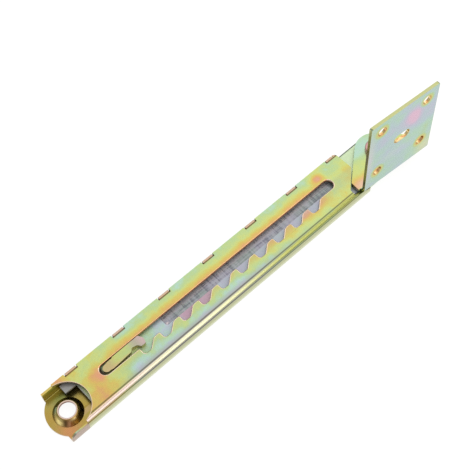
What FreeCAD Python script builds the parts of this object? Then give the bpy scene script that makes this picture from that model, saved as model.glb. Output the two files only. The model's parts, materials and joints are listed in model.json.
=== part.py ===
import FreeCAD, Part
import math
import os

# Sofa headrest ratchet hinge, millimetres.
# The hinge lies with its toothed face up. X runs from the eye to the bracket and
# Z points up out of the toothed face. The solids are made with Z counted from the
# casing's back. At the end they are lowered so that the origin is in the middle
# of the eye's bore.

# Casing, folded from one sheet
SHEET = 1.5
CASING_HALF_WIDTH = 17.0
CASING_HEIGHT = 11.0
BEND_OUTER = 2.0
BEND_INNER = 0.5
TOOTHED_WALL_START_X = -9.2
SEAM_WALL_START_X = -6.2
CASING_END_X = 243.7
SEAM_WALL_END_X = 240.3
NOSE_CENTRE_X = 3.2
NOSE_RADIUS = 17.0
FACE_ARC_RADIUS = 15.6
SEAM_GAP = 0.1
SEAM_STRIP_START_X = 1.8
FACE_CORNER_R = 3.0
LOW_WALL_X = 3.6
LOW_WALL_Z = 8.0
LOW_WALL_R = 4.0

# Eye, drawn up out of the back sheet into a cone
EYE_BORE_R = 5.25
EYE_BORE_LOW_Z = 3.9
EYE_RIM_R = 6.2
EYE_SHOULDER_R = 7.2
EYE_SHOULDER_Z = 4.8
EYE_RIM_Z = 5.5
EYE_CONE_R = 9.7
EYE_MOUTH_R = 9.1
EYE_SEAT_R = 10.5
ORIGIN_Z = (EYE_BORE_LOW_Z + EYE_RIM_Z) / 2

# Toothed slot in the face
PITCH = 16.0
POCKETS = 10
FIRST_POCKET_X = 57.2
POCKET_BOTTOM_Y = -6.9
CREST_Y = -1.6
SLOT_TOP_Y = 6.1
SLOT_LEFT_X = 32.4
SLOT_RIGHT_X = 222.3
# one tooth, from a pocket's reference line: distance along X, Y, corner radius
TOOTH = [
    (-1.2, CREST_Y, 1.3),
    (-1.2, POCKET_BOTTOM_Y, 1.7),
    (3.4, POCKET_BOTTOM_Y, 2.2),
    (9.2, CREST_Y - 0.4, 3.0),
    (11.6, CREST_Y, 1.0),
]
# two corner arcs that make one round end stay apart by this much
ARC_JOIN = 0.01

# Tabs of the seam wall that stand in notches of the face
TAB_PITCH = 37.1
NOTCH_LENGTH = 9.6
NOTCH_DEPTH = 1.65
NOTCH_RELIEF = 0.8
TAB_DROP = 0.1
TAB_ROOT = 1.2
TAB_EDGE_R = 0.4
FIRST_NOTCH_X = 11.4
TABS = 7

# Clearance cuts at the bracket end of the casing
CHAMFER_TOP_Y = 1.1
CHAMFER_TOP_R = 2.5
CHAMFER_X = 229.9
CHAMFER_LOW_Y = -11.5
CHAMFER_LOW_R = 1.5
WALL_CUT_X = 228.2
WALL_CUT_Z = 6.0
WALL_CUT_DEPTH = 0.3

# Slide, a drawn channel that opens downwards
SLIDE_HALF_WIDTH = 15.2
SLIDE_TOP_Z = 7.6
SLIDE_FLANGE_Z = 1.6
SLIDE_TAIL_X = 13.5
TONGUE_X = 5.4
TONGUE_Y = (8.0, 14.2)
BEAD_Y = 11.8
BEAD_HALF = 2.6
BEAD_TOP_Z = 9.4
BEAD_X = (20.0, 222.0)
BEAD_END = 1.5
GROOVE_X = (78.6, 238.0)
GROOVE_Y = (-0.4, 8.2)
GROOVE_DEPTH = 0.8
GROOVE_CORNER = 2.0

# Pawl and its pivot
PIVOT_X = 33.2
PIVOT_Y = 2.05
PAWL_EYE_R = 2.6
PAWL_BOTTOM_Z = 7.7
PAWL_TOP_Z = 10.8
STUB_R = 2.5
STUB_FIT = 0.05
STUB_END_Z = 2.0
STUB_HEAD_R = 3.4
STUB_HEAD_Z = 2.9
WASHER_R = 5.0
WASHER_Z = (2.95, 3.75)
SPRING_WIRE_R = 0.4
SPRING_WIRE_SIDES = 8
SPRING_COIL_R = 3.4
SPRING_TURNS = 1.6
SPRING_RISE = 0.85
SPRING_LOW_Z = 4.2
SPRING_LEG_PAST = 2.0
SPRING_SEAT_GAP = 0.05
NOTCH_SIDE = 0.45
NOTCH_Z = (3.8, 6.0)

# Bracket with its tab leg, rivet and spacer; it rests turned against the face
BRACKET_X = 265.6
BRACKET_TURN = -4.0
BRACKET_SHEET = 2.2
TAB_LEG_Z = 9.15
TAB_LEG_HALF = 30.5
TAB_LEG_SHORT_Y = -10.0
TAB_LEG_APEX_R = 13.8
PLATE_HALF = 28.7
PLATE_OUTER_Y = -20.5
PLATE_TOP_Z = 78.0
BRACKET_BEND_INNER = 1.2
BRACKET_BEND_REACH = 8.0
PLATE_CORNER_R = 1.5
SCREW_R = 3.5
SCREW_X = 19.0
SCREW_Z = (26.5, 68.5)
PLATE_SLOT_HALF = 3.1
RIVET_R = 4.0
RIVET_FIT = 0.08
RIVET_HEAD_R = 7.0
RIVET_HEAD_Z = (11.4, 14.4)
RIVET_HEAD_EDGE = 0.6
RIVET_TAIL_R = 6.0
RIVET_TAIL_Z = 3.9
RIVET_TAIL_EDGE = 1.2
SPACER_R = 8.5
SPACER_GAP = 0.05

# Tools that cut reach past what they cut by this much
PAST = 1.0


def V(x, y, z=0.0):
    return FreeCAD.Vector(x, y, z)


def box(x0, x1, y0, y1, z0, z1):
    return Part.makeBox(x1 - x0, y1 - y0, z1 - z0, V(x0, y0, z0))


def cylinder(r, z0, z1, x=0.0, y=0.0):
    return Part.makeCylinder(r, z1 - z0, V(x, y, z0))


def rounded_path(corners):
    """Closed wire through (x, y, radius) corners, each corner rounded by its radius."""
    count = len(corners)
    starts = []
    ends = []
    for i in range(count):
        x, y, r = corners[i]
        px, py, _ = corners[i - 1]
        nx, ny, _ = corners[(i + 1) % count]
        here = V(x, y)
        back = (V(px, py) - here).normalize()
        ahead = (V(nx, ny) - here).normalize()
        if r <= 0:
            starts.append(here)
            ends.append(here)
            continue
        angle = back.getAngle(ahead)
        reach = r / math.tan(angle / 2)
        starts.append(here + back * reach)
        ends.append(here + ahead * reach)
    edges = []
    for i in range(count):
        x, y, r = corners[i]
        here = V(x, y)
        if r > 0:
            middle = (starts[i] + ends[i]) * 0.5
            to_corner = (here - middle).normalize()
            half_chord = (ends[i] - starts[i]).Length / 2
            sagitta = r - math.sqrt(max(r * r - half_chord * half_chord, 0.0))
            arc = Part.Arc(starts[i], middle + to_corner * sagitta, ends[i])
            edges.append(arc.toShape())
        nxt = (i + 1) % count
        if (starts[nxt] - ends[i]).Length > 1e-6:
            edges.append(Part.LineSegment(ends[i], starts[nxt]).toShape())
    return Part.Wire(edges)


def prism(corners, z0, z1):
    """Upright solid over a plan outline of (x, y, radius) corners."""
    face = Part.Face(rounded_path(corners))
    face.translate(V(0, 0, z0))
    return face.extrude(V(0, 0, z1 - z0))


def section_along_x(corners, x0, x1):
    """Solid with a cross-section of (y, z, radius) corners, drawn out along X."""
    face = Part.Face(rounded_path(corners))
    face.rotate(V(0, 0, 0), V(1, 1, 1), 120)
    face.translate(V(x0, 0, 0))
    return face.extrude(V(x1 - x0, 0, 0))


def plan_along_y(corners, y0, y1):
    """Solid with an outline of (x, z, radius) corners, drawn out along Y."""
    face = Part.Face(rounded_path(corners))
    face.rotate(V(0, 0, 0), V(1, 0, 0), 90)
    face.translate(V(0, y1, 0))
    return face.extrude(V(0, y0 - y1, 0))


def toothed_slot():
    """Plan of the slot: straight upper edge, ten hooked pockets, narrow ends."""
    end_r = (SLOT_TOP_Y - CREST_Y) / 2 - ARC_JOIN
    left = SLOT_LEFT_X - end_r
    right = SLOT_RIGHT_X + end_r
    corners = [(left, SLOT_TOP_Y, end_r), (left, CREST_Y, end_r)]
    for k in range(POCKETS):
        x = FIRST_POCKET_X + k * PITCH
        for dx, y, r in TOOTH:
            corners.append((x + dx, y, r))
    corners.append((right, CREST_Y, end_r))
    corners.append((right, SLOT_TOP_Y, end_r))
    return prism(corners, CASING_HEIGHT - SHEET - PAST, CASING_HEIGHT + PAST)


def eye_cone():
    """Sheet round the eye, drawn up to a collar, as a turned profile."""
    profile = [
        V(EYE_SEAT_R, 0, 0),
        V(EYE_SEAT_R, 0, SHEET),
        V(EYE_CONE_R, 0, SHEET),
        V(EYE_SHOULDER_R, 0, EYE_SHOULDER_Z),
        V(EYE_RIM_R, 0, EYE_RIM_Z),
        V(EYE_BORE_R, 0, EYE_RIM_Z),
        V(EYE_BORE_R, 0, EYE_BORE_LOW_Z),
        V(EYE_MOUTH_R, 0, 0),
    ]
    face = Part.Face(Part.makePolygon(profile + [profile[0]]))
    return face.revolve(V(0, 0, 0), V(0, 0, 1), 360)


def seam_tab(x0, x1):
    """Tab on the seam wall's upper edge, between two stations on X."""
    w = CASING_HALF_WIDTH
    root_z = CASING_HEIGHT - SHEET - TAB_ROOT
    top = CASING_HEIGHT - TAB_DROP
    return section_along_x([
        (w - SHEET, root_z, 0),
        (w, root_z, 0),
        (w, top, TAB_EDGE_R),
        (w - SHEET, top, 0),
    ], x0, x1)


def casing():
    """Box-section rail folded from one sheet, seam along the far upper edge."""
    w = CASING_HALF_WIDTH
    h = CASING_HEIGHT
    i = w - SHEET
    seam_z = h - SHEET
    start = TOOTHED_WALL_START_X
    end = CASING_END_X
    outer = [(-w, 0, BEND_OUTER), (w, 0, BEND_OUTER), (w, h, 0), (-w, h, BEND_OUTER)]
    inner = [(-i, SHEET, BEND_INNER), (i, SHEET, BEND_INNER), (i, seam_z, 0), (-i, seam_z, BEND_INNER)]
    body = section_along_x(outer, start, end)
    body = body.cut(section_along_x(inner, start - PAST, end + PAST))
    # the face lies on the edge of the seam wall with a hair gap
    body = body.cut(box(start - PAST, end + PAST, i - SEAM_GAP, w + PAST, seam_z - SEAM_GAP, seam_z))
    # tabs of the seam wall stand in notches of the face, with relief at both ends
    for k in range(TABS):
        x0 = FIRST_NOTCH_X + k * TAB_PITCH
        x1 = min(x0 + NOTCH_LENGTH, SEAM_WALL_END_X + NOTCH_RELIEF)
        body = body.cut(box(x0, x1, w - NOTCH_DEPTH, w + PAST, seam_z - TAB_ROOT, h + PAST))
        body = body.fuse(seam_tab(x0 + NOTCH_RELIEF, x1 - NOTCH_RELIEF))
    # the seam wall is a little shorter than the face at both ends
    body = body.cut(box(SEAM_WALL_END_X, end + PAST, i, w + PAST, -PAST, seam_z))
    body = body.cut(box(start - PAST, SEAM_WALL_START_X, 0, w + PAST, -PAST, h + PAST))
    # face cut back in an arc round the eye, walls left standing
    arc_cut = cylinder(FACE_ARC_RADIUS, seam_z - BEND_INNER, h + PAST)
    arc_cut = arc_cut.fuse(box(start - PAST, 0, -i, i, seam_z - BEND_INNER, h + PAST))
    body = body.cut(arc_cut)
    strip_y = i - SEAM_GAP
    strip_z = seam_z - SEAM_GAP
    body = body.cut(box(start - PAST, SEAM_STRIP_START_X, strip_y, w + PAST, strip_z, h + PAST))
    # beside the eye the toothed-side wall has no bend on top and a round end corner
    r = LOW_WALL_R
    low_z = LOW_WALL_Z
    wall = (-w - PAST, -i + WALL_CUT_DEPTH)
    body = body.cut(box(start - PAST, LOW_WALL_X, wall[0], wall[1], low_z, h + PAST))
    corner = box(start - PAST, start + r, wall[0], wall[1], low_z - r, low_z + PAST)
    along_y = V(start + r, wall[0] - PAST, low_z - r)
    corner = corner.cut(Part.makeCylinder(r, SHEET + 4 * PAST, along_y, V(0, 1, 0)))
    body = body.cut(corner)
    # round nose of the back sheet beyond the walls
    nose = cylinder(NOSE_RADIUS, 0, SHEET, NOSE_CENTRE_X)
    nose = nose.common(box(-2 * NOSE_RADIUS, 0, -i, i, 0, SHEET))
    body = body.fuse(nose)
    body = body.cut(cylinder(EYE_SEAT_R, -PAST, SHEET + PAST))
    body = body.fuse(eye_cone())
    body = body.cut(toothed_slot())
    # face end: straight, then a chamfer and a step that clear the tab leg
    end_cut = prism([
        (end, w + PAST, 0),
        (end, CHAMFER_TOP_Y, CHAMFER_TOP_R),
        (CHAMFER_X, CHAMFER_LOW_Y, CHAMFER_LOW_R),
        (CHAMFER_X, -i, 0),
        (end + PAST, -i, 0),
        (end + PAST, w + PAST, 0),
    ], seam_z - BEND_INNER, h + PAST)
    body = body.cut(end_cut)
    # corner of the face at the seam side is rounded
    r = FACE_CORNER_R
    corner = box(end - r, end + PAST, w - r, w + PAST, seam_z, h + PAST)
    corner = corner.cut(cylinder(r, 0, h + 2 * PAST, end - r, w - r))
    body = body.cut(corner)
    # end of the toothed-side wall slopes down under the bracket's fold
    slope = plan_along_y([
        (WALL_CUT_X, h, 0),
        (end, WALL_CUT_Z, 0),
        (end + PAST, WALL_CUT_Z, 0),
        (end + PAST, h + PAST, 0),
        (WALL_CUT_X, h + PAST, 0),
    ], -w - PAST, -i + WALL_CUT_DEPTH)
    body = body.cut(slope)
    return body.removeSplitter()


def slide():
    """Channel that runs inside the casing and carries the pawl and the bracket."""
    w = SLIDE_HALF_WIDTH
    top = SLIDE_TOP_Z
    end_x = BRACKET_X + w
    body = prism([
        (SLIDE_TAIL_X, -w, 0),
        (end_x, -w, w - ARC_JOIN),
        (end_x, w, w - ARC_JOIN),
        (SLIDE_TAIL_X, w, 0),
    ], SLIDE_FLANGE_Z, top)
    rim = [e for e in body.Edges if e.BoundBox.ZMin > top - PAST and e.BoundBox.XMax > SLIDE_TAIL_X + PAST]
    body = body.makeFillet(BEND_OUTER, rim)
    i = w - SHEET
    hollow = prism([
        (SLIDE_TAIL_X - PAST, -i, 0),
        (BRACKET_X + i, -i, i - ARC_JOIN),
        (BRACKET_X + i, i, i - ARC_JOIN),
        (SLIDE_TAIL_X - PAST, i, 0),
    ], SLIDE_FLANGE_Z - PAST, top - SHEET)
    body = body.cut(hollow)
    # tongue left standing at the tail
    tongue = box(TONGUE_X, SLIDE_TAIL_X + PAST, TONGUE_Y[0], TONGUE_Y[1], top - SHEET, top)
    body = body.fuse(tongue)
    # two pressed beads keep the slide against the underside of the face
    rise = BEAD_TOP_Z - top
    bead_r = (BEAD_HALF ** 2 + rise ** 2) / (2 * rise)
    axis_z = BEAD_TOP_Z - bead_r
    x0, x1 = BEAD_X
    for y in (-BEAD_Y, BEAD_Y):
        bead = Part.makeCylinder(bead_r, x1 - x0, V(x0, y, axis_z), V(1, 0, 0))
        bead = bead.common(box(x0, x1, -w, w, top - SHEET / 2, BEAD_TOP_Z + PAST))
        body = body.fuse(bead)
        dent_length = x1 - x0 - 2 * BEAD_END
        dent = Part.makeCylinder(bead_r - SHEET, dent_length, V(x0 + BEAD_END, y, axis_z), V(1, 0, 0))
        dent = dent.common(box(x0, x1, -w, w, top - 2 * SHEET, BEAD_TOP_Z))
        body = body.cut(dent)
    # shallow groove rolled along the web under the slot
    groove = prism([
        (GROOVE_X[0], GROOVE_Y[0], GROOVE_CORNER),
        (GROOVE_X[1], GROOVE_Y[0], GROOVE_CORNER),
        (GROOVE_X[1], GROOVE_Y[1], GROOVE_CORNER),
        (GROOVE_X[0], GROOVE_Y[1], GROOVE_CORNER),
    ], top - GROOVE_DEPTH, top + PAST)
    body = body.cut(groove)
    body = body.cut(cylinder(STUB_R + STUB_FIT, 0, top + PAST, PIVOT_X, PIVOT_Y))
    body = body.cut(cylinder(RIVET_R, 0, top + PAST, BRACKET_X))
    return body.removeSplitter()


def pawl():
    """Hooked pawl with a stub shaft that turns in the slide's web."""
    x = PIVOT_X
    y = PIVOT_Y
    body = prism([
        (x - 0.6, 4.65, 1.0),
        (x + 0.4, 4.65, 0),
        (x + 2.6, 5.15, 0),
        (39.4, 5.15, 0),
        (39.9, 5.65, 0),
        (60.3, 5.75, 1.2),
        (62.3, 2.2, 3.0),
        (61.2, -1.3, 0.8),
        (57.7, -1.3, 0.5),
        (56.2, 1.0, 2.0),
        (52.6, 1.9, 1.2),
        (50.6, -0.1, 0.3),
        (x + 3.0, -1.0, 0),
        (x + 1.0, -0.55, 0),
        (x - 0.6, -0.55, 1.0),
    ], PAWL_BOTTOM_Z, PAWL_TOP_Z)
    reach = 2 * PAWL_EYE_R
    body = body.cut(box(x - reach, x, y - reach, y + reach, PAWL_BOTTOM_Z, PAWL_TOP_Z))
    body = body.fuse(cylinder(PAWL_EYE_R, PAWL_BOTTOM_Z, PAWL_TOP_Z, x, y))
    # stub through the web, headed over below, slotted for the spring's inner leg
    stub = cylinder(STUB_R, STUB_HEAD_Z, PAWL_BOTTOM_Z, x, y)
    stub = stub.fuse(cylinder(STUB_HEAD_R, STUB_END_Z, STUB_HEAD_Z, x, y))
    half = SPRING_WIRE_R + NOTCH_SIDE
    stub = stub.cut(box(x - reach, x + reach, y - half, y + half, NOTCH_Z[0], NOTCH_Z[1]))
    return body.fuse(stub).removeSplitter()


def pawl_washer():
    """Washer on the stub, under the spring."""
    disc = cylinder(WASHER_R, WASHER_Z[0], WASHER_Z[1], PIVOT_X, PIVOT_Y)
    return disc.cut(cylinder(STUB_R + STUB_FIT, 0, WASHER_Z[1] + PAST, PIVOT_X, PIVOT_Y))


def pawl_spring():
    """Torsion spring round the stub: inner leg in the stub, outer leg on the flange."""
    rise = SPRING_RISE * SPRING_TURNS
    coil = Part.makeHelix(SPRING_RISE, rise, SPRING_COIL_R)
    # an eight-sided wire keeps the coil light
    corners = []
    for k in range(SPRING_WIRE_SIDES + 1):
        a = 2 * math.pi * (k + 0.5) / SPRING_WIRE_SIDES
        corners.append(V(SPRING_COIL_R + SPRING_WIRE_R * math.cos(a), 0, SPRING_WIRE_R * math.sin(a)))
    wire_section = Part.makePolygon(corners)
    body = Part.Wire(coil.Edges).makePipeShell([wire_section], True, True)
    inner_length = SPRING_COIL_R + SPRING_LEG_PAST
    inner = Part.makeCylinder(SPRING_WIRE_R, inner_length, V(SPRING_COIL_R, 0, 0), V(-1, 0, 0))
    # the outer leg runs straight off the coil's upper end to the slide's flange
    turn = 2 * math.pi * SPRING_TURNS
    top_end = V(SPRING_COIL_R * math.cos(turn), SPRING_COIL_R * math.sin(turn), rise)
    way = V(-math.sin(turn), math.cos(turn))
    side = math.copysign(1.0, way.y)
    flange = SLIDE_HALF_WIDTH - SHEET - SPRING_SEAT_GAP
    gap = flange - side * (PIVOT_Y + top_end.y) - SPRING_WIRE_R * abs(way.x)
    reach = gap / abs(way.y)
    outer = Part.makeCylinder(SPRING_WIRE_R, reach, top_end, way)
    body = body.fuse(inner).fuse(outer)
    body.translate(V(PIVOT_X, PIVOT_Y, SPRING_LOW_Z))
    return body.removeSplitter()


def bracket():
    """Tab leg and mounting plate, one sheet folded at a right angle."""
    t = BRACKET_SHEET
    apex = TAB_LEG_APEX_R
    half = TAB_LEG_HALF
    short_y = TAB_LEG_SHORT_Y
    # the sloping sides run tangent to the round end above the rivet
    span = math.hypot(half, short_y)
    lean = math.asin(apex / span) + math.atan2(-short_y, half)
    touch_x = apex * math.sin(lean)
    touch_y = apex * math.cos(lean)
    bend_y = PLATE_OUTER_Y + t + BRACKET_BEND_INNER
    outline = [
        Part.LineSegment(V(-half, bend_y), V(-half, short_y)).toShape(),
        Part.LineSegment(V(-half, short_y), V(-touch_x, touch_y)).toShape(),
        Part.Arc(V(-touch_x, touch_y), V(0, apex), V(touch_x, touch_y)).toShape(),
        Part.LineSegment(V(touch_x, touch_y), V(half, short_y)).toShape(),
        Part.LineSegment(V(half, short_y), V(half, bend_y)).toShape(),
        Part.LineSegment(V(half, bend_y), V(-half, bend_y)).toShape(),
    ]
    leg = Part.Face(Part.Wire(outline)).extrude(V(0, 0, t))
    leg.translate(V(0, 0, TAB_LEG_Z))
    fold = section_along_x([
        (bend_y + t, TAB_LEG_Z, 0),
        (bend_y + t, TAB_LEG_Z + t, 0),
        (PLATE_OUTER_Y + t, TAB_LEG_Z + t, BRACKET_BEND_INNER),
        (PLATE_OUTER_Y + t, TAB_LEG_Z + BRACKET_BEND_REACH, 0),
        (PLATE_OUTER_Y, TAB_LEG_Z + BRACKET_BEND_REACH, 0),
        (PLATE_OUTER_Y, TAB_LEG_Z, BRACKET_BEND_INNER + t),
    ], -PLATE_HALF, PLATE_HALF)
    plate = plan_along_y([
        (-PLATE_HALF, TAB_LEG_Z + BRACKET_BEND_REACH - PAST, 0),
        (PLATE_HALF, TAB_LEG_Z + BRACKET_BEND_REACH - PAST, 0),
        (PLATE_HALF, PLATE_TOP_Z, PLATE_CORNER_R),
        (-PLATE_HALF, PLATE_TOP_Z, PLATE_CORNER_R),
    ], PLATE_OUTER_Y, PLATE_OUTER_Y + t)
    body = leg.fuse(fold).fuse(plate)
    near = PLATE_OUTER_Y - PAST
    far = PLATE_OUTER_Y + t + PAST
    for x in (-SCREW_X, SCREW_X):
        for z in SCREW_Z:
            body = body.cut(Part.makeCylinder(SCREW_R, far - near, V(x, near, z), V(0, 1, 0)))
    mid_z = (SCREW_Z[0] + SCREW_Z[1]) / 2
    reach = PLATE_SLOT_HALF + SCREW_R
    end_r = SCREW_R - ARC_JOIN
    slot = plan_along_y([
        (-reach, mid_z - SCREW_R, end_r),
        (reach, mid_z - SCREW_R, end_r),
        (reach, mid_z + SCREW_R, end_r),
        (-reach, mid_z + SCREW_R, end_r),
    ], near, far)
    body = body.cut(slot)
    body = body.cut(cylinder(RIVET_R + RIVET_FIT, 0, TAB_LEG_Z + t + PAST))
    body.rotate(V(0, 0, 0), V(0, 0, 1), BRACKET_TURN)
    body.translate(V(BRACKET_X, 0, 0))
    return body.removeSplitter()


def bracket_spacer():
    """Washer between the tab leg and the slide."""
    disc = cylinder(SPACER_R, SLIDE_TOP_Z, TAB_LEG_Z - SPACER_GAP, BRACKET_X)
    return disc.cut(cylinder(RIVET_R, 0, TAB_LEG_Z + PAST, BRACKET_X))


def bracket_rivet():
    """Rivet that the bracket swivels on, headed over under the slide's web."""
    low, high = RIVET_HEAD_Z
    head = cylinder(RIVET_HEAD_R, low, high)
    top_edge = [e for e in head.Edges if e.BoundBox.ZMin > (low + high) / 2]
    head = head.makeChamfer(RIVET_HEAD_EDGE, top_edge)
    shank = cylinder(RIVET_R, RIVET_TAIL_Z, (low + high) / 2)
    tail_top = SLIDE_TOP_Z - SHEET
    tail = cylinder(RIVET_TAIL_R, RIVET_TAIL_Z, tail_top)
    low_edge = [e for e in tail.Edges if e.BoundBox.ZMax < (RIVET_TAIL_Z + tail_top) / 2]
    tail = tail.makeChamfer(RIVET_TAIL_EDGE, low_edge)
    body = head.fuse(shank).fuse(tail)
    body.translate(V(BRACKET_X, 0, 0))
    return body.removeSplitter()


PARTS = {
    "casing": casing,
    "slide": slide,
    "pawl": pawl,
    "pawl_washer": pawl_washer,
    "pawl_spring": pawl_spring,
    "bracket": bracket,
    "bracket_spacer": bracket_spacer,
    "bracket_rivet": bracket_rivet,
}

os.makedirs("parts", exist_ok=True)
for name, make in PARTS.items():
    shape = make()
    shape.translate(V(0, 0, -ORIGIN_Z))
    shape.exportStep("parts/" + name + ".step")
    print(name, "solids", len(shape.Solids), "valid", shape.isValid(), "volume", round(shape.Volume, 1))
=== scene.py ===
# %% [markdown]
# # A ratchet hinge in yellow zinc
# This hinge lifts the headrest of a sofa. It is folded from plated steel sheet:
# a casing with a toothed slot, a slide that runs in it, a pawl, and a bracket
# that swivels on a rivet. The CAD solids already have the right shapes and
# sizes, so the lesson is about edges, plating and light.

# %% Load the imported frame
import json
import math

import bpy
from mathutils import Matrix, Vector

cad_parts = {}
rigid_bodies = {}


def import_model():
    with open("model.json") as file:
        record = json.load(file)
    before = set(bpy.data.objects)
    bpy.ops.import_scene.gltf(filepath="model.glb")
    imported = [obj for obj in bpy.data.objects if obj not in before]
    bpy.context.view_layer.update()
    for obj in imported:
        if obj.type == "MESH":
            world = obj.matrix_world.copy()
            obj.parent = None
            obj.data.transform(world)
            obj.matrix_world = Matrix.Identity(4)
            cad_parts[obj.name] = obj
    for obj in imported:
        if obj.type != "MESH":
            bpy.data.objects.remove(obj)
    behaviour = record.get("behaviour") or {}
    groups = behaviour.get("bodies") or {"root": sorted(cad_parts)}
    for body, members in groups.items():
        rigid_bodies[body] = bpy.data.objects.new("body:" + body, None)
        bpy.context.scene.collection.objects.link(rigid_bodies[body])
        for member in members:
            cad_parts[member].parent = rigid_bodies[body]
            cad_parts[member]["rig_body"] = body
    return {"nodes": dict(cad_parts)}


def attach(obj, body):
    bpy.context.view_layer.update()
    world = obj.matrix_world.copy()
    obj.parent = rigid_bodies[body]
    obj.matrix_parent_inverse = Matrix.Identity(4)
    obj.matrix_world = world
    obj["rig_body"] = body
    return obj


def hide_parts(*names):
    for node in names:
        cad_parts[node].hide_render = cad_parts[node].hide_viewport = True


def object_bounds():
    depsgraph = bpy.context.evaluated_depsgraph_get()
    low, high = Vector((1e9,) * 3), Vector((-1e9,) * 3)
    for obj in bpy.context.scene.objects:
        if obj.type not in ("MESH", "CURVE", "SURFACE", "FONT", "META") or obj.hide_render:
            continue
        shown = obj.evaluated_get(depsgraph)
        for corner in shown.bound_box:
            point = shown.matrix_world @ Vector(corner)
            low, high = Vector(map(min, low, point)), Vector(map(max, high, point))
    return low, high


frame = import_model()
cad_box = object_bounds()
print("solids:", sorted(frame["nodes"]))

# %% [markdown]
# ## Camera
# The photograph looks down on the lying hinge from the side of its eye. The
# camera's place and lens come from matching some thirty points of the object
# (the corners of the plate, the pockets, the eye), so it is set by numbers.

# %% Camera
CAMERA_PLACE = (-0.060823, -0.245495, 0.569930)
CAMERA_TURN = (30.85184, 2.23639, -42.80348)
CAMERA_LENS = 77.964
SENSOR = 36.0

camera_data = bpy.data.cameras.new("camera")
camera_data.lens = CAMERA_LENS
camera_data.sensor_width = SENSOR
camera_data.clip_start = 0.01
camera_data.clip_end = 20.0
camera = bpy.data.objects.new("camera", camera_data)
camera.location = CAMERA_PLACE
camera.rotation_euler = [math.radians(a) for a in CAMERA_TURN]
bpy.context.scene.collection.objects.link(camera)
bpy.context.scene.camera = camera
print("camera at", CAMERA_PLACE, "lens", CAMERA_LENS)

# %% [markdown]
# ## Edges
# A stamped and plated edge is never sharp: it catches a thin line of light.
# The solids come as loose triangles with knife edges. One way out is a bevel
# in the shader, but a bevel in the mesh also shows in an exported model. So
# each solid is copied, its triangles are joined, flat areas are dissolved to
# whole faces, the sharp edges get a small round, and weighted normals keep the
# flat faces flat. The copy then stands for its solid.
#
# The punch that cut the slot drew its upper edge down, so that rim is marked
# and gets a wider round first. It has many short edges, at which an ordinary
# bevel stops itself, so the wide one is made without that limit.

# %% Copy a solid and soften its edges
# corners nearer than this are one corner
JOIN = 3e-5
# faces that meet at less than FLAT are one face, edges above SHARP are rounded
FLAT = math.radians(0.3)
SHARP = math.radians(32)
RIM_ROUND = 0.0008
RIM_SEGMENTS = 3
NORMAL_WEIGHT = 50
FACE_TOP = 0.0063
# the slot's reach along and across the casing
SLOT_BOX = ((0.0275, 0.2270), (-0.0073, 0.0065))


def only(obj):
    """Select one object and make it active."""
    bpy.ops.object.select_all(action="DESELECT")
    obj.select_set(True)
    bpy.context.view_layer.objects.active = obj


def rounded(piece, width, segments, method):
    """Round the piece's edges: all sharp ones (ANGLE) or the marked ones (WEIGHT)."""
    round_off = piece.modifiers.new("round_off", "BEVEL")
    round_off.width = width
    round_off.segments = segments
    round_off.limit_method = method
    round_off.angle_limit = SHARP
    round_off.use_clamp_overlap = method == "ANGLE"
    bpy.ops.object.modifier_apply(modifier="round_off")


def on_slot_rim(place):
    """Is this corner on the face's edge round the slot?"""
    (x0, x1), (y0, y1) = SLOT_BOX
    return place.z > FACE_TOP - JOIN and x0 < place.x < x1 and y0 < place.y < y1


def round_slot_rim(piece):
    """Mark the slot's rim on the casing and round it wider than other edges."""
    marks = piece.data.attributes.new("bevel_weight_edge", "FLOAT", "EDGE")
    corners = piece.data.vertices
    for edge in piece.data.edges:
        if all(on_slot_rim(corners[i].co) for i in edge.vertices):
            marks.data[edge.index].value = 1.0
    print("rim edges", sum(mark.value for mark in marks.data))
    rounded(piece, RIM_ROUND, RIM_SEGMENTS, "WEIGHT")
    print("faces with the slot's rim", len(piece.data.polygons))


def softened(node, name, width, segments=2):
    """A copy of a solid whose sharp edges are rounded by width."""
    solid = frame["nodes"][node]
    piece = solid.copy()
    piece.data = solid.data.copy()
    piece.parent = None
    piece.name = name
    piece.data.name = name
    for key in list(piece.keys()):
        del piece[key]
    bpy.context.scene.collection.objects.link(piece)
    only(piece)
    piece.data.materials.clear()
    bpy.ops.object.mode_set(mode="EDIT")
    bpy.ops.mesh.select_all(action="SELECT")
    bpy.ops.mesh.customdata_custom_splitnormals_clear()
    bpy.ops.mesh.remove_doubles(threshold=JOIN)
    bpy.ops.mesh.dissolve_limited(angle_limit=FLAT)
    bpy.ops.object.mode_set(mode="OBJECT")
    if node == "casing":
        round_slot_rim(piece)
    rounded(piece, width, segments, "ANGLE")
    bpy.ops.object.shade_smooth_by_angle(angle=SHARP)
    level = piece.modifiers.new("level", "WEIGHTED_NORMAL")
    level.keep_sharp = True
    level.weight = NORMAL_WEIGHT
    bpy.ops.object.modifier_apply(modifier="level")
    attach(piece, solid["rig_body"])
    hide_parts(node)
    print(name, "faces", len(piece.data.polygons))
    return piece


# %% Soften every solid
casing = softened("casing", "casing_sheet", 0.00020)
slide = softened("slide", "slide_channel", 0.00020)
pawl = softened("pawl", "pawl_body", 0.00022)
bracket = softened("bracket", "bracket_sheet", 0.00025)
rivet = softened("bracket_rivet", "rivet_of_bracket", 0.00020)
spacer = softened("bracket_spacer", "spacer_ring", 0.00012)
washer = softened("pawl_washer", "washer_ring", 0.00010)
spring = softened("pawl_spring", "spring_wire", 0.00003, 1)

# %% [markdown]
# ## Shader maths
# Plating is painted by sums and products of positions. A small class makes
# that readable: a Value wraps one socket, and arithmetic on it adds a Math
# node. Any other node comes from its one method, make.

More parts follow.
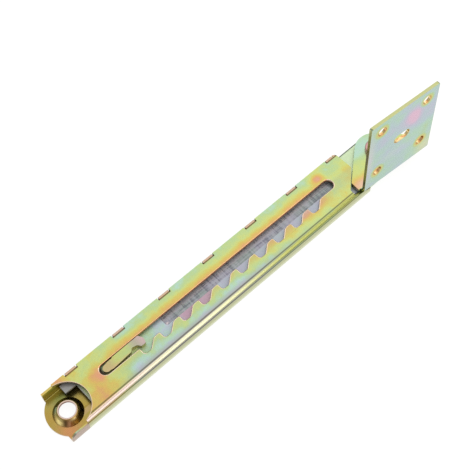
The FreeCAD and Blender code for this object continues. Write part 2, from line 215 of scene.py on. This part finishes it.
# %% A socket that does arithmetic
class Value:
    """One socket of a material's node tree."""

    def __init__(self, tree, socket=None):
        self.tree = tree
        self.socket = socket

    def make(self, kind, settings=None, inputs=None, out=0):
        """Add a node of this kind and return the Value of one of its outputs.

        The setting "stops" fills a colour ramp. All places are set before any
        colour, because the ramp sorts its stops by place.
        """
        node = self.tree.nodes.new(kind)
        for key, setting in (settings or {}).items():
            if key == "stops":
                ramp = node.color_ramp
                while len(ramp.elements) < len(setting):
                    ramp.elements.new(1.0)
                for element, (place, _) in zip(ramp.elements, setting):
                    element.position = place
                for element, (_, colour) in zip(ramp.elements, setting):
                    element.color = colour
            else:
                setattr(node, key, setting)
        for key, given in (inputs or {}).items():
            if isinstance(given, Value):
                self.tree.links.new(given.socket, node.inputs[key])
            else:
                node.inputs[key].default_value = given
        return Value(self.tree, node.outputs[out])

    def math(self, operation, *given, clamp=False):
        """Add a Math node that takes the given Values and numbers."""
        settings = {"operation": operation, "use_clamp": clamp}
        return self.make("ShaderNodeMath", settings, dict(enumerate(given)))

    def __add__(self, other):
        return self.math("ADD", self, other)

    def __radd__(self, other):
        return self.math("ADD", other, self)

    def __sub__(self, other):
        return self.math("SUBTRACT", self, other)

    def __rsub__(self, other):
        return self.math("SUBTRACT", other, self)

    def __mul__(self, other):
        return self.math("MULTIPLY", self, other)

    def __rmul__(self, other):
        return self.math("MULTIPLY", other, self)

    def __truediv__(self, other):
        return self.math("DIVIDE", self, other)

    def clamped(self):
        return self.math("ADD", self, 0.0, clamp=True)

    def size(self):
        return self.math("ABSOLUTE", self)

    def at_least(self, other):
        return self.math("MAXIMUM", self, other)

    def root(self):
        return self.math("SQRT", self)

    def exp(self):
        return self.math("EXPONENT", self)

    def repeated(self, start, pitch):
        """Distance past the last of the stations start, start + pitch and so on."""
        return self.math("FRACT", (self - start) / pitch) * pitch


# %% Helpers for places and masks
def linear(colour):
    """A screen colour of 0 to 255 per channel as a shader's linear colour."""
    def channel(c):
        c = c / 255
        return c / 12.92 if c <= 0.04045 else ((c + 0.055) / 1.055) ** 2.4
    return tuple(channel(c) for c in colour) + (1.0,)


def between(x, low, high):
    """0 below low, 1 above high, smooth in between; low may be above high."""
    settings = {"interpolation_type": "SMOOTHSTEP"}
    if low < high:
        span = {"From Min": low, "From Max": high, "To Min": 0.0, "To Max": 1.0}
    else:
        span = {"From Min": high, "From Max": low, "To Min": 1.0, "To Max": 0.0}
    return x.make("ShaderNodeMapRange", settings, {"Value": x, **span})


def band(x, start, full, fade, end):
    """Rises from start to full, falls from fade to end."""
    return between(x, start, full) * between(x, end, fade)


def line(x, middle, half):
    """1 at the middle, 0 at half on either side."""
    return band(x, middle - half, middle, middle, middle + half)


def spot(x, y, place, reach):
    """A soft blob, 1 at its middle, that fades over its reach in two directions."""
    across = (x - place[0]) / reach[0]
    along = (y - place[1]) / reach[1]
    return (0.0 - (across * across + along * along)).exp()


# %% [markdown]
# ## Yellow zinc
# The zinc is passivated in a bath that leaves a film a fraction of a
# micrometre thick. Light that bounces off its two sides interferes, so the
# colour tells the thickness: pink and lilac where the film is thin, then blue,
# teal, green and yellow, and orange and pink again at the edges, where it grew
# thickest. So the material first works out a thickness from the place on the
# piece, and one ramp turns it into a colour. That gives the right order of
# colours everywhere. A few tints come on top: the cut edges and the groove,
# and painted light and shade: the fold's highlight and dark lines, glints,
# reflections on the eye's cone, and shade in gaps and recesses.

# %% The film's colours, by thickness
FILM = [
    (0.40, (214, 180, 198)),
    (0.50, (186, 184, 200)),
    (0.58, (176, 194, 198)),
    (0.66, (172, 203, 180)),
    (0.76, (176, 198, 142)),
    (0.86, (192, 202, 126)),
    (0.96, (200, 190, 104)),
    (1.06, (208, 176, 100)),
    (1.16, (209, 158, 112)),
    (1.26, (208, 158, 146)),
    (1.36, (180, 148, 162)),
]
FILM_LOW = FILM[0][0]
FILM_SPAN = FILM[-1][0] - FILM[0][0]
# noise that drifts the thickness: size in millimetres and how far
DRIFT = ((13.0, 0.20), (4.5, 0.10), (1.6, 0.05))
# sizes in millimetres of the specks, of the patches of polish, and of the
# sheet's fine grain and slow waves
SPECK, POLISH, GRAIN, WAVE = 0.5, 1.3, 0.8, 4.0
POLISH_REACH = 0.14
GRAIN_SHARE = 0.4
BUMP_STRENGTH = 0.12
BUMP_DEPTH = 0.0001
NOISE_ROUGHNESS = 0.55
MM_PER_METRE = 1000.0


def mixed(share, first, second):
    """Mix two colours, each a Value or 0 to 255 per channel."""
    first, second = (c if isinstance(c, Value) else linear(c) for c in (first, second))
    given = {0: share, 6: first, 7: second}
    return share.make("ShaderNodeMix", {"data_type": "RGBA"}, given, out=2)


class Zinc:
    def __init__(self, name):
        self.material = bpy.data.materials.new(name)
        self.material.use_nodes = True
        self.tree = self.material.node_tree
        self.shader = self.tree.nodes["Principled BSDF"]
        self.base = Value(self.tree)
        place = self.base.make("ShaderNodeTexCoord", out=3)
        self.mm = self.scaled(place, MM_PER_METRE)
        parts = self.base.make("ShaderNodeSeparateXYZ", inputs={0: self.mm})
        self.x, self.y, self.z = (Value(self.tree, part) for part in parts.socket.node.outputs)

    def scaled(self, vector, factor):
        settings = {"operation": "SCALE"}
        return self.base.make("ShaderNodeVectorMath", settings, {0: vector, "Scale": factor})

    def noise(self, size, detail=3.0, stretch=(1, 1, 1)):
        """Noise round 0.5 whose features measure about size millimetres."""
        given = {0: self.mm, 1: tuple(s / size for s in stretch)}
        place = self.base.make("ShaderNodeVectorMath", {"operation": "MULTIPLY"}, given)
        given = {"Vector": place, "Scale": 1.0, "Detail": detail, "Roughness": NOISE_ROUGHNESS}
        return self.base.make("ShaderNodeTexNoise", {"noise_dimensions": "3D"}, given)

    def finish(self, film, tints=(), shade=1.0, rough=0.3, mottle=1.0, speck=0.06, metallic=1.0):
        """Wire a film thickness and tints of (mask, colour) into the shader."""
        for size, depth in DRIFT:
            film = film + (self.noise(size, 2.0) - 0.5) * (depth * mottle * 2)
        level = (film - FILM_LOW) / FILM_SPAN
        stops = [((t - FILM_LOW) / FILM_SPAN, linear(c)) for t, c in FILM]
        colour = self.base.make("ShaderNodeValToRGB", {"stops": stops}, {"Fac": level})
        for mask, tint in tints:
            colour = mixed(mask, colour, tint)
        tone = ((self.noise(SPECK, 2.0) - 0.5) * speck + 1.0) * shade
        roughness = (self.noise(POLISH, 3.0) - 0.5) * POLISH_REACH + rough
        grain = self.noise(GRAIN, 2.0) * GRAIN_SHARE + self.noise(WAVE, 1.0)
        given = {"Strength": BUMP_STRENGTH, "Distance": BUMP_DEPTH, "Height": grain}
        raised = self.base.make("ShaderNodeBump", inputs=given)
        self.shader.inputs["Metallic"].default_value = metallic
        wires = (("Base Color", self.scaled(colour, tone)), ("Roughness", roughness), ("Normal", raised))
        for name, value in wires:
            self.tree.links.new(value.socket, self.shader.inputs[name])
        print("material", self.material.name, "nodes", len(self.tree.nodes))
        return self.material


def dress(piece, material):
    piece.data.materials.clear()
    piece.data.materials.append(material)


# %% [markdown]
# ## Casing
# On the face the film is green along the seam, turns yellow and orange at the
# slot's upper edge, and is teal below the teeth, with a painted highlight along
# the rim of each tooth. Towards the long bend it is lilac and dull. The bend
# itself gets painted light and shade by how far a point lies down the fold: a
# painted dark line of shade, a painted highlight strip, a second painted dark
# line, and then the wall, painted paler towards its foot as a reflection of the
# floor. A mirror-like fold in a real studio shows the same four bands.

# %% Casing's film
FACE_EDGE_Y = -15.0
WALL_Y = -16.4
FACE_Z = 6.3
EYE_PLATE_END = 16.0
EYE_BORE_R = 5.25
FIRST_NOTCH_X, NOTCH_PITCH = 11.4, 37.1

zinc = Zinc("casing_zinc_film")
x, y, z = zinc.x, zinc.y, zinc.z
right = between(x, 120.0, 205.0)
left = between(x, 56.0, 24.0)
upper = between(y, 17.5, 6.3)
film_upper = upper * upper * 0.36 + 0.74
halo = between(y, -10.5, -3.0)
to_bend = between(y, -9.0, -14.0)
film_lower = 0.70 + right * 0.21 + halo * (0.20 + right * 0.10) - to_bend * 0.10
is_upper = between(y, 1.0, 4.0)
film = film_lower + is_upper * (film_upper - film_lower)
film = film + left * ((0.90 + (zinc.noise(16.0, 1.0) - 0.5) * 0.7) - film)
film = film + between(x, 205.0, 226.0) * (0.86 - film)
film = film - spot(x, y, (231.0, 12.0), (9.0, 5.0)) * 0.20
film = film + spot(x, y, (221.0, 10.5), (5.0, 3.5)) * 0.36
film = film - spot(x, y, (44.0, -7.0), (10.0, 5.0)) * 0.16

# 0 at the face's edge, 4 where the bend ends, 13 at the foot of the wall
down_fold = (FACE_EDGE_Y + FACE_Z) - y - z
on_wall = between(y, -16.0, -16.8)
# the fold's bright strip is a painted highlight, and the wall's tone below is a painted reflection of
# the floor, paler towards its foot
fold_highlight = band(down_fold, -0.7, -0.2, 2.2, 2.9) * between(x, 2.0, 4.0)
highlight_right = mixed(between(x, 80.0, 180.0), (240, 236, 196), (172, 174, 98))
highlight_left = (240, 208, 202)
wall_reflection = mixed(between(z, 2.0, -4.0), (186, 188, 140), (222, 226, 196))
in_slot = band(x, 27.5, 28.0, 226.5, 227.0) * band(y, -7.4, -7.2, 6.4, 6.6)
# the slot's rim is tinted as a painted highlight, salmon along its upper edge
slot_rim = in_slot * band(z, 5.40, 5.55, 6.27, 6.298)
slot_cut = in_slot * band(z, 4.70, 4.80, 5.40, 5.55)
at_eye = between(x, 16.5, 13.5) * between(z, 3.2, 2.4) * between(y, WALL_Y, -15.6)
eye_ring = (x * x + y * y).root()
# the arc's cut edge beside the eye gets a painted highlight
arc_edge_highlight = band(eye_ring, 15.3, 15.45, 15.9, EYE_PLATE_END) * band(z, 4.7, 4.8, FACE_Z, 6.4)
arc_edge_highlight = arc_edge_highlight * between(x, EYE_PLATE_END, 15.7)
cone = at_eye * band(eye_ring, 6.2, 6.8, 9.2, 9.9)
low_wall = between(x, 3.7, 3.5) * between(y, -15.8, -16.6) * between(z, -4.0, -3.0)
# millimetres past the start of the last notch
past = x.repeated(FIRST_NOTCH_X, NOTCH_PITCH)
on_casing_top = between(z, 5.5, 5.8) * between(x, 250.0, 246.0) * between(x, 8.0, 10.0)
tab_top = band(past, 0.75, 0.85, 8.75, 8.85) * between(y, 15.40, 15.50) * on_casing_top
notch_line = band(past, 0.0, 0.1, 9.5, 9.7) * band(y, 14.3, 14.8, 15.38, 15.45) * on_casing_top
# the relief cuts beside each tab are painted dark as shade
relief_shade = (band(past, 0.0, 0.05, 0.8, 0.9) + band(past, 8.7, 8.8, 9.6, 9.8)).clamped()
relief_shade = relief_shade * between(y, 14.8, 15.0) * between(z, 2.0, 3.0) * between(x, 8.0, 10.0)
# each row is where a tint lies, 0 to 1, and its colour; later rows lie over
# earlier ones
tints = [
    (halo * (1.0 - is_upper) * (1.0 - left) * 0.25, (150, 156, 140)),
    (to_bend * (1.0 - right) * (1.0 - left) * 0.75, (160, 154, 156)),
    # the fold's painted light and shade: two painted dark lines of shade, the wall's painted reflection
    # of the floor and the painted highlight strip
    (line(down_fold, -1.3, 0.9) * between(x, 3.0, 6.0) * 0.85, (92, 86, 66)),
    (line(down_fold, 3.9, 1.3) * between(z, 3.4, 3.6), (86, 84, 40)),
    (on_wall * between(down_fold, 4.6, 5.6), wall_reflection),
    (fold_highlight, highlight_right),
    (fold_highlight * between(x, 70.0, 30.0) * 0.8, highlight_left),
    # the slot's cut, the painted highlight along its rim, and a painted highlight on the cut edge beside
    # the eye
    (slot_cut, (190, 128, 78)),
    (arc_edge_highlight * 0.9, (228, 200, 176)),
    (slot_rim, (255, 232, 208)),
    (slot_rim * between(y, 5.3, 5.7), (236, 176, 132)),
    # the eye's plate, then painted reflections, light and dark, on its cone, then a painted highlight on
    # its collar's rim, and its bore's dark brown wall
    (at_eye * 0.85, (168, 141, 68)),
    (at_eye * spot(x, y, (-7.0, -10.0), (7.0, 7.0)) * 0.8, (206, 142, 100)),
    (at_eye * spot(x, y, (3.0, 11.0), (7.0, 4.0)) * 0.8, (116, 134, 76)),
    (cone * spot(x, y, (-5.0, 5.6), (3.5, 3.5)) * 0.8, (110, 140, 108)),
    (cone * spot(x, y, (-6.0, -5.4), (2.0, 2.0)), (86, 60, 34)),
    (cone * spot(x, y, (-3.6, -8.0), (1.8, 1.8)) * 0.8, (206, 140, 110)),
    (cone * spot(x, y, (-8.4, -2.0), (2.2, 2.6)), (246, 226, 150)),
    (cone * spot(x, y, (-1.0, -8.6), (2.4, 2.0)), (250, 224, 160)),
    (at_eye * band(eye_ring, EYE_BORE_R, 5.35, 5.9, 6.1) * between(z, 0.3, 0.6) * 0.9, (214, 190, 182)),
    (at_eye * between(eye_ring, 5.35, 5.28) * 0.9, (116, 70, 46)),
    (low_wall * 0.8, (180, 154, 148)),
    (spot(x, y, (27.0, 1.0), (2.6, 4.0)) * between(z, 6.0, 6.2) * 0.8, (216, 152, 124)),
    # the seam's notches and tabs, with painted shade in the relief cuts beside the tabs
    (notch_line * 0.9, (112, 84, 52)),
    (tab_top * 0.9, (200, 164, 142)),
    (relief_shade * 0.9, (64, 48, 32)),
]
dress(casing, zinc.finish(film, tints, rough=0.27))

# %% [markdown]
# ## Slide and pawl
# Only the slide's web shows through the slot. It is green beside the pawl,
# then a groove begins that the rolls left dull and dark, with fine lines along
# and across it. Beside the groove two pockets show a magenta film. Painted
# light and shade come on top: the groove is painted lighter towards the slot's
# upper edge, against the shadow there; the groove's walls and the web near the
# slot's left end are painted dark as shade; and a painted glint sits at the
# groove's left end.

# %% Slide's film
zinc = Zinc("slide_zinc_film")
x, y, z = zinc.x, zinc.y, zinc.z
in_groove = band(x, 78.4, 79.0, 237.6, 238.2) * band(y, -0.7, -0.2, 8.0, 8.5)
film = 0.74 - between(x, 64.0, 75.0) * 0.16 + between(x, 232.0, 244.0) * 0.12
scratch = (zinc.noise(1.1, 2.0, (0.05, 1, 1)) - 0.5) + (zinc.noise(1.4, 2.0, (1, 0.06, 1)) - 0.5)
groove_tone = mixed(between(zinc.noise(14.0, 1.0), 0.38, 0.62), (168, 180, 174), (186, 180, 198))
tints = [
    (band(x, 84.0, 92.0, 112.0, 122.0) * between(y, 0.5, -0.8) * 0.85, (184, 146, 162)),
    (between(x, 116.0, 126.0) * between(x, 236.0, 230.0) * between(y, 0.5, -0.8) * 0.7, (166, 166, 180)),
    (between(x, 16.0, 13.0), (150, 150, 148)),
    # painted shade: the web is darkened near the slot's left end, where it runs in under the casing's
    # face
    (between(x, 31.5, 30.0) * between(x, 18.0, 20.0), (66, 54, 38)),
    (between(x, 238.0, 240.0), (206, 224, 184)),
    (in_groove * 0.88, groove_tone),
    # painted light: the groove is lightened towards the slot's upper edge, against the shadow that falls
    # there
    (in_groove * between(y, 2.5, 6.5) * 0.75, (246, 236, 242)),
    (in_groove * between(scratch, 0.03, 0.14) * 0.7, (204, 204, 214)),
    (in_groove * between(scratch, -0.03, -0.14) * 0.7, (118, 116, 132)),
    # painted shade: the groove's walls are darkened
    (band(z, 2.05, 2.15, 2.80, 2.88) * between(x, 60.0, 62.0) * 0.8, (70, 76, 78)),
    # a painted glint at the groove's left end
    (spot(x, y, (80.2, 1.2), (0.9, 0.6)) * 0.9, (236, 220, 220)),
]
dress(slide, zinc.finish(film, tints, shade=1.15, rough=0.42, metallic=0.5))

# %% Pawl's film
zinc = Zinc("pawl_zinc_film")
x, y, z = zinc.x, zinc.y, zinc.z
film = zinc.noise(8.0, 1.0) * 0.2 + 0.74
tints = [
    (between(x, 42.0, 35.0) * 0.7, (194, 164, 126)),
    (between(x, 49.0, 57.0) * 0.85, mixed(between(x, 56.0, 61.0), (178, 166, 156), (200, 170, 176))),
    (between(y, 1.2, -0.4) * between(x, 52.0, 48.0) * 0.6, (206, 178, 134)),
    # the pawl's sides are painted light, a painted highlight that shows in the narrow gap beside it
    (between(z, 6.0, 5.6), (206, 184, 140)),
]
dress(pawl, zinc.finish(film, tints, shade=0.96, rough=0.3, mottle=0.6))

# %% [markdown]
# ## Bracket
# The bracket rests turned by four degrees, so its film is laid out along its
# own directions. The plate is pale teal and lilac. Round each hole the film
# grew thick: a yellow ring, and a gold wall inside the hole, mixed with
# lighter patches that are painted glints.

# %% Bracket's film
SWIVEL_X = 265.6
REST_TURN = math.radians(4.0)
HOLE_U = 19.0
HOLE_MIDDLE_Z = 42.8
HOLE_V = 21.0
HOLE_R = 3.5
SLOT_U = 3.1

zinc = Zinc("bracket_zinc_film")
x, y, z = zinc.x, zinc.y, zinc.z
u = (x - SWIVEL_X) * math.cos(REST_TURN) - y * math.sin(REST_TURN)
v = (x - SWIVEL_X) * math.sin(REST_TURN) + y * math.cos(REST_TURN)
on_plate = (between(z, 6.9, 8.2) + between(v, -16.2, -17.6)).clamped()
hole_u = u.size() - HOLE_U
hole_z = (z - HOLE_MIDDLE_Z).size() - HOLE_V
to_hole = (hole_u * hole_u + hole_z * hole_z).root()
slot_u = (u.size() - SLOT_U).at_least(0.0)
slot_z = z - HOLE_MIDDLE_Z
to_slot = (slot_u * slot_u + slot_z * slot_z).root()
plate = (zinc.noise(20.0, 1.0) - 0.5) * 0.30 + 0.62
plate = plate - spot(u, z, (8.0, 57.0), (8.0, 9.0)) * 0.22 + spot(u, z, (22.0, 24.0), (9.0, 14.0)) * 0.10
plate = plate + between(to_hole, 7.0, HOLE_R) * 0.30 + between(to_slot, 4.6, HOLE_R) * 0.08
leg = 0.68 + between(v, 6.0, -4.0) * 0.18 + between(v, -6.0, -14.0) * 0.28
film = leg + on_plate * (plate - leg)
rim = (between(u.size(), 28.3, 28.6) + between(z, 72.8, 73.1)).clamped() * on_plate
hole_wall = (between(to_hole, 3.75, 3.55) + between(to_slot, 3.75, 3.55)).clamped()
hole_wall = hole_wall * between(z, 10.0, 12.0)
tints = [
    (spot(u, z, (8.0, 57.0), (6.0, 7.0)) * on_plate * 0.6, (218, 178, 198)),
    (spot(u, z, (-6.0, 30.0), (12.0, 4.0)) * on_plate * 0.4, (194, 196, 208)),
    (rim * 0.85, (188, 186, 120)),
    (spot(u, z, (24.0, 12.0), (7.0, 8.0)) * on_plate * 0.6, (220, 214, 150)),
    (spot(u, z, (-27.0, 40.0), (3.0, 22.0)) * on_plate * 0.4, (222, 200, 206)),
    (spot(u, v, (-24.0, -16.0), (8.0, 4.0)) * (1.0 - on_plate) * 0.8, (218, 190, 170)),
    # the hole walls: gold film mixed with lighter patches as painted glints
    (hole_wall, mixed(between(zinc.noise(2.0, 1.0), 0.4, 0.6), (222, 168, 112), (244, 222, 160))),
]
dress(bracket, zinc.finish(film, tints, rough=0.26, mottle=0.45, speck=0.03))

# %% Small parts
for piece, thickness in ((rivet, 1.2), (spacer, 0.98), (washer, 0.98), (spring, 0.98)):
    zinc = Zinc(piece.name + "_film")
    film = zinc.noise(6.0, 1.0) * 0.2 + thickness
    dress(piece, zinc.finish(film, rough=0.3, mottle=0.5))

# %% [markdown]
# ## Floor and light
# The photograph has a plain white ground and soft light from above. Plated
# metal looks like what it mirrors, so the light boxes and the room's grey
# matter more than their strength: the flat faces mirror a big pale box, and
# the bends sweep from one box towards the other. The dark lines along the
# casing's fold are painted shade in its colour.

# %% Floor
FLOOR_GAP = 0.00005
FLOOR_SIZE = 6.0
FLOOR_MIDDLE = (0.1, 0.0)
FLOOR_GREY = 0.80
FLOOR_GLOW = 1.18
# how much of the seen floor glows; the rest keeps the shadow
GLOW_SHARE = 0.75


def seen_by(root, *kinds):
    """1 for rays of the named kinds, 0 for others."""
    rays = root.make("ShaderNodeLightPath").socket.node.outputs
    shares = [Value(root.tree, rays["Is %s Ray" % kind]) for kind in kinds]
    return sum(shares[1:], shares[0]).clamped()


floor_z = cad_box[0][2] - FLOOR_GAP
bpy.ops.object.select_all(action="DESELECT")
bpy.ops.mesh.primitive_plane_add(size=FLOOR_SIZE, location=(*FLOOR_MIDDLE, floor_z))
floor = bpy.context.object
floor.name = "floor"
paper = bpy.data.materials.new("paper")
paper.use_nodes = True
tree = paper.node_tree
tree.nodes.clear()
root = Value(tree)
direct = seen_by(root, "Camera", "Transmission", "Glossy")
matt = root.make("ShaderNodeBsdfDiffuse", inputs={"Color": (FLOOR_GREY, FLOOR_GREY, FLOOR_GREY, 1)})
glow = root.make("ShaderNodeEmission", inputs={"Color": (1, 1, 1, 1), "Strength": FLOOR_GLOW})
surface = root.make("ShaderNodeMixShader", inputs={0: direct * GLOW_SHARE, 1: matt, 2: glow})
out = tree.nodes.new("ShaderNodeOutputMaterial")
tree.links.new(surface.socket, out.inputs["Surface"])
floor.data.materials.append(paper)

# %% World
ROOM_GREY = 0.48

world = bpy.data.worlds.new("room")
bpy.context.scene.world = world
world.use_nodes = True
tree = world.node_tree
tree.nodes.clear()
root = Value(tree)
white = root.make("ShaderNodeBackground", inputs={"Color": (1, 1, 1, 1), "Strength": 1.0})
room = root.make("ShaderNodeBackground", inputs={"Color": (1, 1, 1, 1), "Strength": ROOM_GREY})
direct = seen_by(root, "Camera", "Transmission")
surface = root.make("ShaderNodeMixShader", inputs={0: direct, 1: room, 2: white})
out = tree.nodes.new("ShaderNodeOutputWorld")
tree.links.new(surface.socket, out.inputs["Surface"])

# %% Light boxes
MIDDLE = (0.14, 0.0, 0.0)


def light_box(name, place, size, power):
    """A soft rectangular lamp at a place, aimed at the hinge's middle."""
    data = bpy.data.lights.new(name, "AREA")
    data.shape = "RECTANGLE"
    data.size, data.size_y = size
    data.energy = power
    lamp = bpy.data.objects.new(name, data)
    lamp.location = place
    aim = Vector(MIDDLE) - Vector(place)
    lamp.rotation_euler = aim.to_track_quat("-Z", "Y").to_euler()
    bpy.context.scene.collection.objects.link(lamp)
    print(name, "at", place, "with", power, "watts")


light_box("box_over", (0.62, 0.73, 1.17), (1.8, 1.2), 5.2)
light_box("box_side", (0.60, -0.68, 1.12), (2.0, 1.5), 9.0)

bpy.context.scene.view_settings.view_transform = "Standard"
